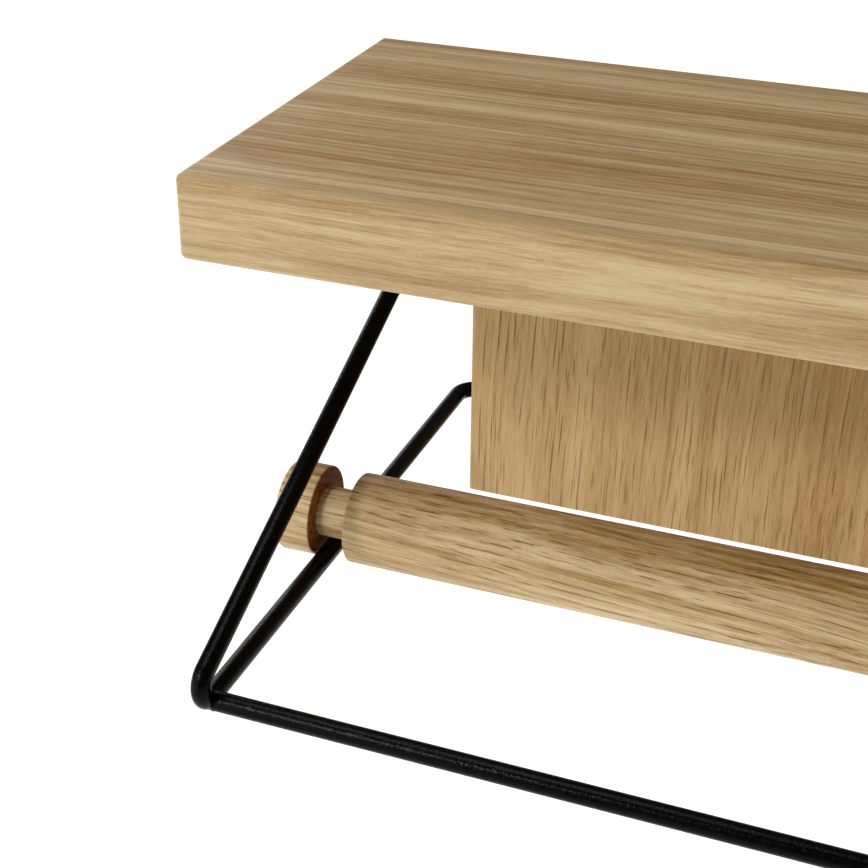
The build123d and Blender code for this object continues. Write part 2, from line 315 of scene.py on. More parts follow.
# %% [markdown]
# ## Tone and end grain
# The rings and the layers add up to how dark a spot is. The heartwood inside is darker than the
# sapwood round it, and one fades into the other over some width. A face across the grain soaks up
# more oil and is much darker. The piece's own normal, turned into the grain's space, finds it.

# %% Tone and end grain
# how squarely a face must lie across the grain to start and to end as end grain, as a cosine
END_GRAIN_FROM, END_GRAIN_TO = 0.8, 0.99


def wood_tone(tree, layers, rings, heart, bands, streaks):
    """How dark the wood is, from 0 to 1."""
    radius, early, late, growth = rings
    shade = add(tree, "ShaderNodeMath", {0: late, 1: growth}, operation="MULTIPLY").outputs[0]
    shade = add(tree, "ShaderNodeMath", {0: shade, 1: 0.5 * bands}, operation="MULTIPLY").outputs[0]
    shade = add(tree, "ShaderNodeMath", {0: early, 1: 0.16 * bands, 2: shade},
                operation="MULTIPLY_ADD").outputs[0]
    shares = {"band": (-0.35 * bands, 0.75 * bands), "streak": (-0.3 * streaks, 0.5 * streaks),
              "fibre": (-0.16, 0.22), "speck": (-0.08, 0.1)}
    for layer, (least, most) in shares.items():
        share = add(tree, "ShaderNodeMapRange", {
            "Value": layers[layer], "From Min": 0.3, "From Max": 0.7,
            "To Min": least, "To Max": most}).outputs[0]
        shade = add(tree, "ShaderNodeMath", {0: shade, 1: share}, operation="ADD").outputs[0]
    # heartwood is darker; on the board this darkening also serves as painted shade, so that the top looks
    # darker than the front face
    heart_radius, fade, darker = heart
    heartwood = add(tree, "ShaderNodeMapRange", {
        "Value": radius, "From Min": heart_radius - fade, "From Max": heart_radius,
        "To Min": darker, "To Max": 0.0}).outputs[0]
    shade = add(tree, "ShaderNodeMath", {0: shade, 1: heartwood}, operation="ADD").outputs[0]
    return add(tree, "ShaderNodeClamp", {"Value": shade}).outputs[0]


def end_grain_share(tree, normal, turn):
    """Nearly 1 on a face across the grain and 0 on one along it."""
    facing = add(tree, "ShaderNodeVectorRotate", {"Vector": normal, "Rotation": turn},
                 rotation_type="EULER_XYZ").outputs[0]
    facing = add(tree, "ShaderNodeSeparateXYZ", {0: facing}).outputs["X"]
    facing = add(tree, "ShaderNodeMath", {0: facing}, operation="ABSOLUTE").outputs[0]
    return add(tree, "ShaderNodeMapRange", {
        "Value": facing, "From Min": END_GRAIN_FROM, "From Max": END_GRAIN_TO,
        "To Min": 0.0, "To Max": 0.95}, interpolation_type="SMOOTHSTEP").outputs[0]


print("end grain starts", round(math.degrees(math.acos(END_GRAIN_FROM))), "degrees from square")

# %% [markdown]
# ## The oiled wood
# The oil soaks in and leaves no film. So the wood looks warm and satin, its open vessels are slightly
# sunk and dull, and end grain hardly shines. One function puts the patterns together in a material.

# %% The oiled wood
PORE_RELIEF = 0.08 * MM
SATIN, DULL = 0.48, 0.75
FACE_SHINE, END_SHINE = 0.25, 0.03


def oak(name, turn, pith, ring, heart, colours, vessel, pores=1.0, bands=1.0, streaks=1.0):
    """Solid oak. turn brings the grain onto X, in degrees, and pith is where the pith then lies, in mm.
    ring is the width of a year ring in mm. heart is the radius of the heartwood, the width over which
    it fades into the paler sapwood, both in mm, and how much darker it is. colours are light wood,
    dark wood, pores and end grain, and vessel is the length and spacing of the vessels in mm. The
    last three scale how much pores, bands and streaks show."""
    material, tree, shader = new_material(name)
    light, dark, pore, end_grain = [linear(colour) for colour in colours]
    turn = [math.radians(v) for v in turn]
    place = add(tree, "ShaderNodeTexCoord").outputs
    grain = grain_space(tree, place["Object"], turn, pith)
    layers = grain_layers(tree, grain)
    rings = year_rings(tree, grain, layers["waver"], ring)
    hollow = open_vessels(tree, grain, layers["fibre"], rings[1], *vessel)

    shade = wood_tone(tree, layers, rings, heart, bands, streaks)
    wood = add(tree, "ShaderNodeMix", {0: shade, 6: light, 7: dark}, data_type="RGBA").outputs[2]
    depth = add(tree, "ShaderNodeMath", {0: hollow, 1: 0.9 * pores}, operation="MULTIPLY").outputs[0]
    wood = add(tree, "ShaderNodeMix", {0: depth, 6: wood, 7: pore}, data_type="RGBA").outputs[2]
    end = end_grain_share(tree, place["Normal"], turn)
    soaked = add(tree, "ShaderNodeMix", {0: 1.0, 6: wood, 7: end_grain}, data_type="RGBA",
                 blend_type="MULTIPLY").outputs[2]
    wood = add(tree, "ShaderNodeMix", {0: end, 6: wood, 7: soaked}, data_type="RGBA").outputs[2]
    tree.links.new(wood, shader.inputs["Base Color"])

    rough = add(tree, "ShaderNodeMapRange", {
        "Value": hollow, "To Min": SATIN, "To Max": DULL}).outputs[0]
    tree.links.new(rough, shader.inputs["Roughness"])
    relief = add(tree, "ShaderNodeMath", {0: hollow, 1: -1.0}, operation="MULTIPLY").outputs[0]
    relief = add(tree, "ShaderNodeMath", {0: layers["fibre"], 1: 0.3, 2: relief},
                 operation="MULTIPLY_ADD").outputs[0]
    bump = add(tree, "ShaderNodeBump", {"Height": relief, "Strength": 0.4, "Distance": PORE_RELIEF})
    tree.links.new(bump.outputs[0], shader.inputs["Normal"])
    shine = add(tree, "ShaderNodeMapRange", {
        "Value": end, "To Min": FACE_SHINE, "To Max": END_SHINE}).outputs[0]
    tree.links.new(shine, shader.inputs["Specular IOR Level"])
    shader.inputs["IOR"].default_value = 1.47
    return material


print("open vessels lie", round(PORE_RELIEF / MM, 2), "mm below the surface")

# %% [markdown]
# ## Three pieces of oak
# The board is quarter sawn: the pith lay far behind it, so the rings cross its top as straight lines.
# The panel's grain stands upright, and its vessels show clearly, as hairlines some 30 mm long. The
# rod's grain runs a few degrees off its axis, so the hairlines run out on its round side, and the
# rings draw long ovals there.

# %% Three pieces of oak
# On the board the darker heartwood covers the top and fades out near the front edge, so the top is darker
# than the pale front face: partly the wood's own tone, partly painted shade.
oak_shelf = oak("oak_quarter_sawn_oiled", turn=(0.0, 0.0, 0.0), pith=(0.0, 190.0, 45.0), ring=2.4,
                heart=(316.0, 22.0, 0.3), colours=("#c1a981", "#8f6a38", "#6e4b1c", "#ae9474"),
                vessel=(60.0, 0.7), pores=0.35, bands=0.6, streaks=0.65)
oak_panel = oak("oak_upright_oiled", turn=(0.0, 88.5, 0.0), pith=(0.0, 60.0, -150.0), ring=2.1,
                heart=(290.0, 100.0, 0.35), colours=("#bc9e6f", "#94703a", "#745022", "#ae9474"),
                vessel=(32.0, 0.66), bands=0.45, streaks=0.3)
oak_rod = oak("oak_turned_oiled", turn=(0.0, -4.5, 0.0), pith=(0.0, -60.0, 40.0), ring=2.2,
              heart=(77.0, 3.0, 0.3), colours=("#cfb68c", "#94703a", "#653f10", "#ab711f"),
              vessel=(27.0, 0.7), bands=0.55)
print("oak materials:", [m.name for m in (oak_shelf, oak_panel, oak_rod)])

# %% [markdown]
# ## Black powder coat
# The frame is steel wire with a black powder coat. The powder melts in the oven and sets with a fine
# orange peel, which breaks up every highlight into specks about half a millimetre wide. The peel could
# be modelled, but it is far finer than the mesh, so two noises of different grain make it as bump. The
# coat is deep black and reflects little, so it only shows where a softbox is mirrored in it.

# %% Black powder coat
PEEL, GRIT, PEEL_RELIEF = 0.9 * MM, 0.35 * MM, 0.11 * MM


def powder_coat():
    """Deep black powder coat with an orange peel."""
    material, tree, shader = new_material("powder_coat_black")
    place = add(tree, "ShaderNodeTexCoord").outputs["Object"]
    peel = add(tree, "ShaderNodeTexNoise", {
        "Vector": place, "Scale": 1 / PEEL, "Detail": 2.0, "Roughness": 0.6}).outputs["Fac"]
    grit = add(tree, "ShaderNodeTexNoise", {"Vector": place, "Scale": 1 / GRIT}).outputs["Fac"]
    height = add(tree, "ShaderNodeMath", {0: grit, 1: 0.6, 2: peel}, operation="MULTIPLY_ADD").outputs[0]
    bump = add(tree, "ShaderNodeBump", {"Height": height, "Strength": 0.8, "Distance": PEEL_RELIEF})
    tree.links.new(bump.outputs[0], shader.inputs["Normal"])
    rough = add(tree, "ShaderNodeMapRange", {
        "Value": peel, "From Min": 0.3, "From Max": 0.7, "To Min": 0.14, "To Max": 0.25}).outputs[0]
    tree.links.new(rough, shader.inputs["Roughness"])
    tone = add(tree, "ShaderNodeMix", {0: peel, 6: linear("#010101"), 7: linear("#040404")},
               data_type="RGBA").outputs[2]
    tree.links.new(tone, shader.inputs["Base Color"])
    shader.inputs["Specular IOR Level"].default_value = 0.065
    return material


black = powder_coat()
print("made", black.name)

# %% [markdown]
# ## Zinc plate and beech
# The fittings behind the panel are stamped steel with bright zinc plate, slightly uneven from the
# barrel that they are plated in: a pale grey metal with soft clouds and a fine frost. The dowels are
# raw beech: pale and matt, with tiny brown flecks. Both patterns are plain noise, because neither has
# a figure of its own.

# %% Zinc plate and beech
ZINC_CLOUD, ZINC_FROST = 4.0 * MM, 0.3 * MM
FLECK_WIDTH, FLECK_LENGTH = 0.6 * MM, 4.0 * MM


def zinc_plate():
    """Bright zinc on steel."""
    material, tree, shader = new_material("zinc_plated_steel")
    place = add(tree, "ShaderNodeTexCoord").outputs["Object"]
    cloud = add(tree, "ShaderNodeTexNoise", {
        "Vector": place, "Scale": 1 / ZINC_CLOUD, "Detail": 4.0}).outputs["Fac"]
    tone = add(tree, "ShaderNodeMix", {0: cloud, 6: linear("#a9adb0"), 7: linear("#cfd3d4")},
               data_type="RGBA").outputs[2]
    rough = add(tree, "ShaderNodeMapRange", {
        "Value": cloud, "From Min": 0.3, "From Max": 0.7, "To Min": 0.28, "To Max": 0.44}).outputs[0]
    frost = add(tree, "ShaderNodeTexNoise", {
        "Vector": place, "Scale": 1 / ZINC_FROST, "Detail": 2.0}).outputs["Fac"]
    bump = add(tree, "ShaderNodeBump", {"Height": frost, "Strength": 0.2, "Distance": 0.02 * MM})
    tree.links.new(tone, shader.inputs["Base Color"])
    tree.links.new(rough, shader.inputs["Roughness"])
    tree.links.new(bump.outputs[0], shader.inputs["Normal"])
    shader.inputs["Metallic"].default_value = 1.0
    return material


def beech():
    """Raw beech whose grain stands upright."""
    material, tree, shader = new_material("beech_raw")
    place = add(tree, "ShaderNodeTexCoord").outputs["Object"]
    along = add(tree, "ShaderNodeMapping", {
        "Vector": place, "Scale": (1 / FLECK_WIDTH, 1 / FLECK_WIDTH, 1 / FLECK_LENGTH)}).outputs[0]
    fleck = add(tree, "ShaderNodeTexNoise", {
        "Vector": along, "Scale": 1.0, "Detail": 3.0}).outputs["Fac"]
    tone = add(tree, "ShaderNodeMix", {0: fleck, 6: linear("#dcc09a"), 7: linear("#b9916a")},
               data_type="RGBA").outputs[2]
    bump = add(tree, "ShaderNodeBump", {"Height": fleck, "Strength": 0.2, "Distance": 0.05 * MM})
    tree.links.new(tone, shader.inputs["Base Color"])
    tree.links.new(bump.outputs[0], shader.inputs["Normal"])
    shader.inputs["Roughness"].default_value = 0.7
    return material


zinc, raw_beech = zinc_plate(), beech()
print("made", zinc.name, "and", raw_beech.name)

# %% [markdown]
# ## Nodes that stay
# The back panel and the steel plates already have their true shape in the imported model: grooves,
# pockets, keyholes and countersinks. So do the plain dowels, which sit unseen between the panel and
# the board, and the ground weld that closes the loop. They keep it and only get their material.

# %% Nodes that stay
def dress(node, material):
    """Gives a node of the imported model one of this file's materials."""
    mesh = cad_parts[node].data
    mesh.materials.clear()
    mesh.materials.append(material)


dress("back_panel", oak_panel)
dress("panel_dowels", raw_beech)
dress("loop_butt_weld", black)
for node in ("hanger_plate_left", "hanger_plate_right", "bar_saddle_left", "bar_saddle_right"):
    dress(node, zinc)
print("kept nodes dressed")

# %% [markdown]
# ## Making a piece
# A finished piece has its place in its mesh and its object at the world's origin, as the nodes do.
# It rides on a body and stands for a node.

# %% Making a piece
def place_piece(obj, body, slot, *nodes):
    """Ties a finished piece to its body and hides the nodes it stands for. slot is not used."""
    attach(obj, body)
    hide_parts(*nodes)
    size = [round(v / MM, 1) for v in obj.dimensions]
    print(obj.name, "size mm", size, "faces", len(obj.data.polygons))
    return obj


def link_mesh(name, mesh):
    """Puts a mesh in the scene as an object of the same name."""
    obj = bpy.data.objects.new(name, mesh)
    bpy.context.scene.collection.objects.link(obj)
    return obj


print("nodes to place or dress:", len(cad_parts))

# %% [markdown]
# ## Shelf board
# A planed board whose edges were rounded over with a router and then sanded. The rear face lies on the
# wall, so the four edges round it stay sharp and only the other eight are rounded. A Bevel modifier
# would need marks on the edges, while mesh code picks them by their place, so code makes the box and
# its many-step bevel. Weighted normals keep the large faces flat next to the small bevel faces.

# %% Shelf board
def weigh_normals(obj):
    """Lets large faces lead the shading, so that they look flat beside small rounded edges."""
    weighted = obj.modifiers.new("flat faces", "WEIGHTED_NORMAL")
    weighted.keep_sharp = True
    return obj


def shelf_board():
    lo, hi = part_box("shelf_board")
    rounding, steps = 1.8 * MM, 8
    shape = bmesh.new()
    bmesh.ops.create_cube(shape, size=1.0)
    for v in shape.verts:
        v.co = Vector([a + (c + 0.5) * (b - a) for a, b, c in zip(lo, hi, v.co)])
    open_edges = [e for e in shape.edges if min(v.co.y for v in e.verts) < hi[1] - rounding]
    bmesh.ops.bevel(shape, geom=open_edges, offset=rounding, segments=steps, profile=0.5,
                    affect="EDGES", clamp_overlap=True)
    bmesh.ops.recalc_face_normals(shape, faces=shape.faces)
    mesh = bpy.data.meshes.new("oak_shelf_board")
    shape.to_mesh(mesh)
    shape.free()
    mesh.materials.append(oak_shelf)
    mesh.shade_smooth()
    mesh.set_sharp_from_angle(angle=math.radians(40))
    return weigh_normals(link_mesh("oak_shelf_board", mesh))


place_piece(shelf_board(), SHELF_BODY, "oak_shelf", "shelf_board")

# %% [markdown]
# ## Wires
# A wire bender makes straight runs joined by round bends, each with its own radius. A curve with
# hand-set handles could follow them, but not exactly. So the route is a line of corners, each with
# the radius of its bend as an attribute. In Geometry Nodes the line becomes a curve, Fillet Curve
# rounds every corner by its own radius, and Curve to Mesh sweeps the wire's round section along it.
# The same tree makes the loop and the straight front bar.

# %% A tree that bends wire
def wire_tree():
    """Sweeps a round section along a line of corners."""
    tree = bpy.data.node_groups.new("bent_wire", "GeometryNodeTree")
    tree.interface.new_socket("Corners", in_out="INPUT", socket_type="NodeSocketGeometry")
    for name, kind in (("Wire Radius", "NodeSocketFloat"), ("Steps per Bend", "NodeSocketInt"),
                       ("Sides", "NodeSocketInt"), ("Material", "NodeSocketMaterial")):
        tree.interface.new_socket(name, in_out="INPUT", socket_type=kind)
    tree.interface.new_socket("Wire", in_out="OUTPUT", socket_type="NodeSocketGeometry")
    given = add(tree, "NodeGroupInput").outputs
    bend = add(tree, "GeometryNodeInputNamedAttribute", {"Name": "bend_radius"}, data_type="FLOAT")
    route = add(tree, "GeometryNodeMeshToCurve", {"Mesh": given["Corners"]}).outputs[0]
    route = add(tree, "GeometryNodeFilletCurve", {
        "Curve": route, "Radius": bend.outputs["Attribute"], "Count": given["Steps per Bend"]},
        mode="POLY").outputs[0]
    section = add(tree, "GeometryNodeCurvePrimitiveCircle", {
        "Resolution": given["Sides"], "Radius": given["Wire Radius"]}).outputs[0]
    wire = add(tree, "GeometryNodeCurveToMesh", {
        "Curve": route, "Profile Curve": section, "Fill Caps": True}).outputs[0]
    wire = add(tree, "GeometryNodeRealizeInstances", {"Geometry": wire}).outputs[0]
    wire = add(tree, "GeometryNodeSetMaterial", {
        "Geometry": wire, "Material": given["Material"]}).outputs[0]
    add(tree, "NodeGroupOutput", {"Wire": wire})
    return tree


def grow(obj, tree, **values):
    """Runs a Geometry Nodes tree on obj with named inputs and keeps the result as a plain mesh."""
    modifier = obj.modifiers.new(tree.name, "NODES")
    modifier.node_group = tree
    for item in tree.interface.items_tree:
        if item.item_type == "SOCKET" and item.in_out == "INPUT" and item.name in values:
            modifier[item.identifier] = values[item.name]
    bpy.context.view_layer.update()
    grown = obj.evaluated_get(bpy.context.evaluated_depsgraph_get())
    mesh = bpy.data.meshes.new_from_object(grown)
    obj.modifiers.remove(modifier)
    obj.data = mesh
    mesh.name = obj.name
    mesh.shade_smooth()
    return obj


bent_wire = wire_tree()
print("tree", bent_wire.name, "has", len(bent_wire.nodes), "nodes")

# %% [markdown]
# ## Wire loop and front bar
# The loop starts behind the panel, runs to the left side, comes forward and down to the hairpin, goes
# back level and turns inwards again, and the right side mirrors it. Its two ends stop short of the
# middle, where the ground butt weld joins them. The hairpin is given by where its two straight runs
# would cross, which follows from the height and the reach of the side by a little trigonometry.

# %% Wire loop and front bar
loop_low, loop_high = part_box("wire_loop")
bar_low, bar_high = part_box("front_bar")
WIRE_R = (bar_high[2] - bar_low[2]) / 2
SIDE_X = loop_high[0] - WIRE_R
BACK_Y = loop_high[1] - WIRE_R
TOP_Z, LEVEL_Z = loop_high[2] - WIRE_R, loop_low[2] + WIRE_R
CORNER_BEND, HAIRPIN_BEND = 6.25 * MM, 4.7 * MM
BEND_Y = loop_low[1] + WIRE_R + HAIRPIN_BEND
SEAM = 0.5 * MM                # half the length of the butt weld
BEND_STEPS, WIRE_SIDES = 20, 32


def crossing_y():
    """Where a side's two straight runs would cross, in front of the hairpin."""
    back, rise = BACK_Y - BEND_Y, TOP_Z - LEVEL_Z - HAIRPIN_BEND
    slope = math.atan2(rise, back) - math.asin(HAIRPIN_BEND / math.hypot(back, rise))
    return BACK_Y - (TOP_Z - LEVEL_Z) / math.tan(slope)


def corner_line(name, corners):
    """A line of corners (place, bend radius) as a mesh of edges."""
    mesh = bpy.data.meshes.new(name)
    points = [place for place, bend in corners]
    mesh.from_pydata(points, [(i, i + 1) for i in range(len(points) - 1)], [])
    radii = mesh.attributes.new("bend_radius", "FLOAT", "POINT")
    radii.data.foreach_set("value", [bend for place, bend in corners])
    return link_mesh(name, mesh)


def loop_corners():
    """The corners of the whole loop, from one side of its weld round to the other."""
    y = crossing_y()
    left = [((-SEAM, BACK_Y, TOP_Z), 0.0), ((-SIDE_X, BACK_Y, TOP_Z), CORNER_BEND),
            ((-SIDE_X, y, LEVEL_Z), HAIRPIN_BEND), ((-SIDE_X, BACK_Y, LEVEL_Z), CORNER_BEND)]
    right = [((-x, depth, z), bend) for (x, depth, z), bend in reversed(left)]
    return left + right


def make_wire(name, corners):
    """A coated wire along a line of corners."""
    return grow(corner_line(name, corners), bent_wire, **{
        "Wire Radius": WIRE_R, "Steps per Bend": BEND_STEPS, "Sides": WIRE_SIDES, "Material": black})


place_piece(make_wire("frame_wire_loop", loop_corners()), SHELF_BODY, "black_powder_coat", "wire_loop")
BAR_Y, BAR_Z = (bar_low[1] + bar_high[1]) / 2, (bar_low[2] + bar_high[2]) / 2
bar_ends = [((side * SIDE_X, BAR_Y, BAR_Z), 0.0) for side in (-1, 1)]
place_piece(make_wire("frame_front_bar", bar_ends), SHELF_BODY, "black_powder_coat", "front_bar")

# %% [markdown]
# ## Weld beads
# The front bar's flat end meets the round side of the hairpin, so the gap between them is a saddle,
# closed beside the bar and open above and below it. The welder fills it with a bead that follows the
# saddle, one small pool after the other. The bead is a ring of round sections along the line where
# two crossed cylinders meet, and its thickness swells with each pool. Mesh code makes it, because
# the rule is short and the ring small.

# %% Weld beads
BEAD, POOL_SWELL, POOL_SPREAD = 0.3, 0.12, 0.06       # mm
# the bead's place as a share of the wire's radius, and its width along the bar as a share of its height
BEAD_SEAT, BEAD_WIDTH = 0.9, 1.25


def weld_bead(side):
    """The bead at one end of the front bar. side is -1 on the left and 1 on the right."""
    around, section, pools = 96, 16, 11
    swell = np.random.default_rng(5 + side).uniform(-POOL_SPREAD, POOL_SPREAD, pools)
    rings = []
    for i in range(around):
        turn = 2 * math.pi * i / around
        out = Vector((0.0, math.cos(turn), math.sin(turn)))
        gap = math.sqrt(max(0.0, 1 - math.sin(turn) ** 2)) * WIRE_R
        middle = Vector((side * (SIDE_X - gap), BAR_Y, BAR_Z)) + out * (WIRE_R * BEAD_SEAT)
        phase = pools * i / around
        uneven = float(swell[int(phase) % pools])
        bead = (BEAD + POOL_SWELL * abs(math.sin(math.pi * phase)) + uneven) * MM
        inwards = Vector((-side, 0.0, 0.0))
        rings.append([middle + bead * (math.cos(t) * out + BEAD_WIDTH * math.sin(t) * inwards)
                      for t in (2 * math.pi * k / section for k in range(section))])
    shape = bmesh.new()
    rows = [[shape.verts.new(p) for p in ring] for ring in rings]
    for i in range(around):
        a, b = rows[i], rows[(i + 1) % around]
        for k in range(section):
            n = (k + 1) % section
            shape.faces.new((a[k], a[n], b[n], b[k]))
    bmesh.ops.recalc_face_normals(shape, faces=shape.faces)
    name = "weld_bead_left" if side < 0 else "weld_bead_right"
    mesh = bpy.data.meshes.new(name)
    shape.to_mesh(mesh)
    shape.free()
    mesh.materials.append(black)
    mesh.shade_smooth()
    return link_mesh(name, mesh)


place_piece(weld_bead(-1), SHELF_BODY, "black_powder_coat", "bar_weld_left")
place_piece(weld_bead(1), SHELF_BODY, "black_powder_coat", "bar_weld_right")

# %% [markdown]
# ## Hanging rod
# The rod is turned on a lathe: every section is a circle, and one outline gives the whole shape. A
# Screw modifier could turn it, but the tree shows what turning is. The outline is again a line of
# corners with a rounding radius each. Geometry Nodes rounds them, lays a grid with one row for each
# point of the outline, and bends every row into a circle round the rod's axis. Merging closes the
# seam and the two ends.

# %% A tree that turns an outline
def lathe_tree():
    """Turns an outline round the X axis through a centre."""
    tree = bpy.data.node_groups.new("lathe", "GeometryNodeTree")
    tree.interface.new_socket("Outline", in_out="INPUT", socket_type="NodeSocketGeometry")
    for name, kind in (("Centre", "NodeSocketVector"), ("Sides", "NodeSocketInt"),
                       ("Steps per Rounding", "NodeSocketInt"), ("Material", "NodeSocketMaterial")):
        tree.interface.new_socket(name, in_out="INPUT", socket_type=kind)
    tree.interface.new_socket("Turned", in_out="OUTPUT", socket_type="NodeSocketGeometry")
    given = add(tree, "NodeGroupInput").outputs
    rounding = add(tree, "GeometryNodeInputNamedAttribute", {"Name": "bend_radius"}, data_type="FLOAT")
    outline = add(tree, "GeometryNodeMeshToCurve", {"Mesh": given["Outline"]}).outputs[0]
    outline = add(tree, "GeometryNodeFilletCurve", {
        "Curve": outline, "Radius": rounding.outputs["Attribute"], "Count": given["Steps per Rounding"]},
        mode="POLY").outputs[0]
    outline = add(tree, "GeometryNodeCurveToPoints", {"Curve": outline}, mode="EVALUATED").outputs["Points"]
    size = add(tree, "GeometryNodeAttributeDomainSize", {"Geometry": outline}, component="POINTCLOUD")
    columns = add(tree, "ShaderNodeMath", {0: given["Sides"], 1: 1.0}, operation="ADD").outputs[0]
    grid = add(tree, "GeometryNodeMeshGrid", {
        "Size X": 1.0, "Size Y": 1.0, "Vertices X": size.outputs["Point Count"],
        "Vertices Y": columns}).outputs[0]
    index = add(tree, "GeometryNodeInputIndex").outputs[0]
    row = add(tree, "ShaderNodeMath", {0: index, 1: columns}, operation="DIVIDE").outputs[0]
    row = add(tree, "ShaderNodeMath", {0: row}, operation="FLOOR").outputs[0]
    column = add(tree, "ShaderNodeMath", {0: row, 1: columns}, operation="MULTIPLY").outputs[0]
    column = add(tree, "ShaderNodeMath", {0: index, 1: column}, operation="SUBTRACT").outputs[0]
    turn = add(tree, "ShaderNodeMath", {0: column, 1: given["Sides"]}, operation="DIVIDE").outputs[0]
    turn = add(tree, "ShaderNodeMath", {0: turn, 1: 2 * math.pi}, operation="MULTIPLY").outputs[0]
    spot = add(tree, "GeometryNodeInputPosition").outputs[0]
    spot = add(tree, "GeometryNodeSampleIndex", {"Geometry": outline, "Value": spot, "Index": row},
               data_type="FLOAT_VECTOR", domain="POINT").outputs[0]
    parts = add(tree, "ShaderNodeSeparateXYZ", {0: spot}).outputs
    cosine = add(tree, "ShaderNodeMath", {0: turn}, operation="COSINE").outputs[0]
    sine = add(tree, "ShaderNodeMath", {0: turn}, operation="SINE").outputs[0]
    y = add(tree, "ShaderNodeMath", {0: parts["Y"], 1: cosine}, operation="MULTIPLY").outputs[0]
    z = add(tree, "ShaderNodeMath", {0: parts["Y"], 1: sine}, operation="MULTIPLY").outputs[0]
    round_spot = add(tree, "ShaderNodeCombineXYZ", {0: parts["X"], 1: y, 2: z}).outputs[0]
    round_spot = add(tree, "ShaderNodeVectorMath", {0: round_spot, 1: given["Centre"]},
                     operation="ADD").outputs[0]
    turned = add(tree, "GeometryNodeSetPosition", {"Geometry": grid, "Position": round_spot}).outputs[0]
    turned = add(tree, "GeometryNodeMergeByDistance", {
        "Geometry": turned, "Distance": 0.002 * MM}).outputs[0]
    turned = add(tree, "GeometryNodeRealizeInstances", {"Geometry": turned}).outputs[0]
    turned = add(tree, "GeometryNodeSetMaterial", {
        "Geometry": turned, "Material": given["Material"]}).outputs[0]
    add(tree, "NodeGroupOutput", {"Turned": turned})
    return tree


def face_outwards(obj):
    """Recalculates a closed mesh's normals, because turning can leave it inside out."""
    shape = bmesh.new()
    shape.from_mesh(obj.data)
    bmesh.ops.recalc_face_normals(shape, faces=shape.faces)
    shape.to_mesh(obj.data)
    shape.free()
    return obj


lathe = lathe_tree()
print("tree", lathe.name, "has", len(lathe.nodes), "nodes")

# %% [markdown]
# ## Hanging rod
# Seen from one end, the outline is a knob, a neck that lies on the wire, and the shoulder of the
# barrel. The corners at the foot of the neck stay sharp, as a parting tool leaves them. The others are
# broken with sandpaper, most at the knob's end. The other half is the same outline mirrored.

# %% Hanging rod
rod_low, rod_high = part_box("hanging_rod")
ROD_R = (rod_high[2] - rod_low[2]) / 2
NECK_R = 6.85 * MM
ROD_CENTRE = Vector((0.0, (rod_low[1] + rod_high[1]) / 2, (rod_low[2] + rod_high[2]) / 2))
KNOB_LENGTH, NECK_LENGTH = 10.0 * MM, 9.85 * MM
KNOB_ROUND, SHOULDER_ROUND = 1.0 * MM, 0.4 * MM
ROD_SIDES, ROUNDING_STEPS = 128, 6


def rod_outline():
    """The rod's outline as corners, each a place along the axis, a radius and a rounding."""
    end = rod_high[0]
    inner = end - KNOB_LENGTH
    shoulder = inner - NECK_LENGTH
    right = [((shoulder, ROD_R, 0.0), SHOULDER_ROUND), ((shoulder, NECK_R, 0.0), 0.0),
             ((inner, NECK_R, 0.0), 0.0), ((inner, ROD_R, 0.0), SHOULDER_ROUND),
             ((end, ROD_R, 0.0), KNOB_ROUND), ((end, 0.0, 0.0), 0.0)]
    return [((-x, r, z), rounding) for (x, r, z), rounding in reversed(right)] + right


rod = grow(corner_line("turned_hanging_rod", rod_outline()), lathe, **{
    "Centre": ROD_CENTRE, "Sides": ROD_SIDES, "Steps per Rounding": ROUNDING_STEPS,
    "Material": oak_rod})
face_outwards(rod).data.set_sharp_from_angle(angle=math.radians(40))
weigh_normals(rod)
place_piece(rod, ROD_BODY, "oak_rod", "hanging_rod")

# %% [markdown]
# ## Screws
# Two screws hold each plate, eight in all, and all eight are the same: a countersunk wood screw with a
# rolled thread and a cross recess. One could be modelled and copied by hand, but a tree keeps every
# size open. A grid becomes the screw when each row turns into a circle whose radius follows the
# distance from the head: a cone for the head, then a ridge that climbs one pitch per turn, and at the
# end a taper to the point. Two crossed bars cut the recess with a Boolean. The screw is then set on
# every spot as an instance.

# %% A tree that makes screws
# rows along the screw, about ten to each turn of the thread, and points round it with the seam twice
SCREW_ROWS, SCREW_COLUMNS = 110, 29


